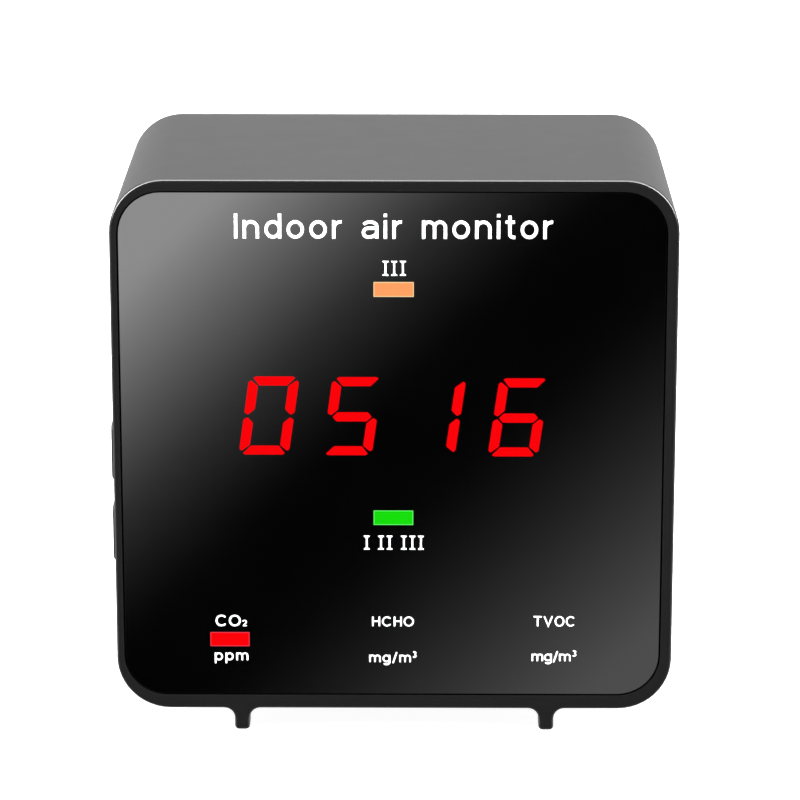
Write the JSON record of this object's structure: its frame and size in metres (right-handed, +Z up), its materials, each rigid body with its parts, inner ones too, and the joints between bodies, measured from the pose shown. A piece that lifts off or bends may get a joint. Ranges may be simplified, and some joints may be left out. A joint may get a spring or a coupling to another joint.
{
  "type": "carbon dioxide monitor",
  "caption": "Square desktop air monitor with a glossy black front panel, numeric display, side push buttons, inset vented rear cover and small feet.",
  "frame": {"origin": "on the surface the monitor stands on, under the middle of its body", "axes": "+Z up, -Y out of the front panel, +X to the right as seen from the front"},
  "size_m": [0.0727, 0.043, 0.0733],
  "materials": {
    "housing_plastic": "satin moulded",
    "button_plastic": "satin moulded",
    "panel_black": "polished acrylic, back-printed black",
    "foam_tape": "matt foam",
    "board_green": "solder mask",
    "chip_black": "moulded epoxy",
    "tinned_metal": "tinned",
    "screw_steel": "black zinc",
    "display_grey": "moulded",
    "mask_black": "matt moulded",
    "lamp_clear": "frosted",
    "lamp_white": "phosphor",
    "sensor_gold": "gold plated",
    "sensor_white": "moulded",
    "battery_silver": "laminated foil",
    "connector_white": "moulded nylon",
    "wire_red": "insulation",
    "wire_black": "insulation",
    "ribbon_grey": "flat cable"
  },
  "bodies": {
    "body": {"housing": "housing_plastic", "rear_cover": "housing_plastic", "front_panel": "panel_black", "panel_adhesive": "foam_tape", "main_board": "board_green", "display_module": "display_grey", "light_mask": "mask_black", "microcontroller": "chip_black", "display_driver": "chip_black", "voltage_regulator": "chip_black", "clock_crystal": "tinned_metal", "power_switch": "chip_black", "mode_switch": "chip_black", "sensor_board": "board_green", "co2_sensor": "sensor_gold", "hcho_sensor": "sensor_white", "tvoc_sensor": "tinned_metal", "battery_cell": "battery_silver", "battery_pad": "foam_tape", "battery_header": "connector_white", "battery_plug": "connector_white", "battery_lead_red": "wire_red", "battery_lead_black": "wire_black", "charge_board": "board_green", "charge_port": "tinned_metal", "charge_chip": "chip_black", "charge_lead_red": "wire_red", "charge_lead_black": "wire_black", "ribbon_socket_main": "connector_white", "ribbon_socket_sensor": "connector_white", "sensor_ribbon": "ribbon_grey", "air_level_light_guide": "lamp_clear", "air_level_lamp": "lamp_white", "grade_light_guide": "lamp_clear", "grade_lamp": "lamp_white", "co2_light_guide": "lamp_clear", "co2_lamp": "lamp_white", "hcho_light_guide": "lamp_clear", "hcho_lamp": "lamp_white", "tvoc_light_guide": "lamp_clear", "tvoc_lamp": "lamp_white", "rear_cover_screw_1": "screw_steel", "rear_cover_screw_2": "screw_steel", "rear_cover_screw_3": "screw_steel", "rear_cover_screw_4": "screw_steel", "main_board_screw_1": "screw_steel", "main_board_screw_2": "screw_steel", "main_board_screw_3": "screw_steel", "main_board_screw_4": "screw_steel", "sensor_board_screw_1": "screw_steel", "sensor_board_screw_2": "screw_steel", "sensor_board_screw_3": "screw_steel", "sensor_board_screw_4": "screw_steel"},
    "power_button": {"power_button": "button_plastic", "power_switch_plunger": "connector_white"},
    "mode_button": {"mode_button": "button_plastic", "mode_switch_plunger": "connector_white"}
  },
  "joints": [
    {"name": "power_button_press", "type": "slide", "parent": "body", "child": "power_button", "axis": [1, 0, 0], "range_m": [0, 0.00035], "stiffness_N_per_m": 1500, "springref_m": -0.0004},
    {"name": "mode_button_press", "type": "slide", "parent": "body", "child": "mode_button", "axis": [1, 0, 0], "range_m": [0, 0.00035], "stiffness_N_per_m": 1500, "springref_m": -0.0004}
  ]
}
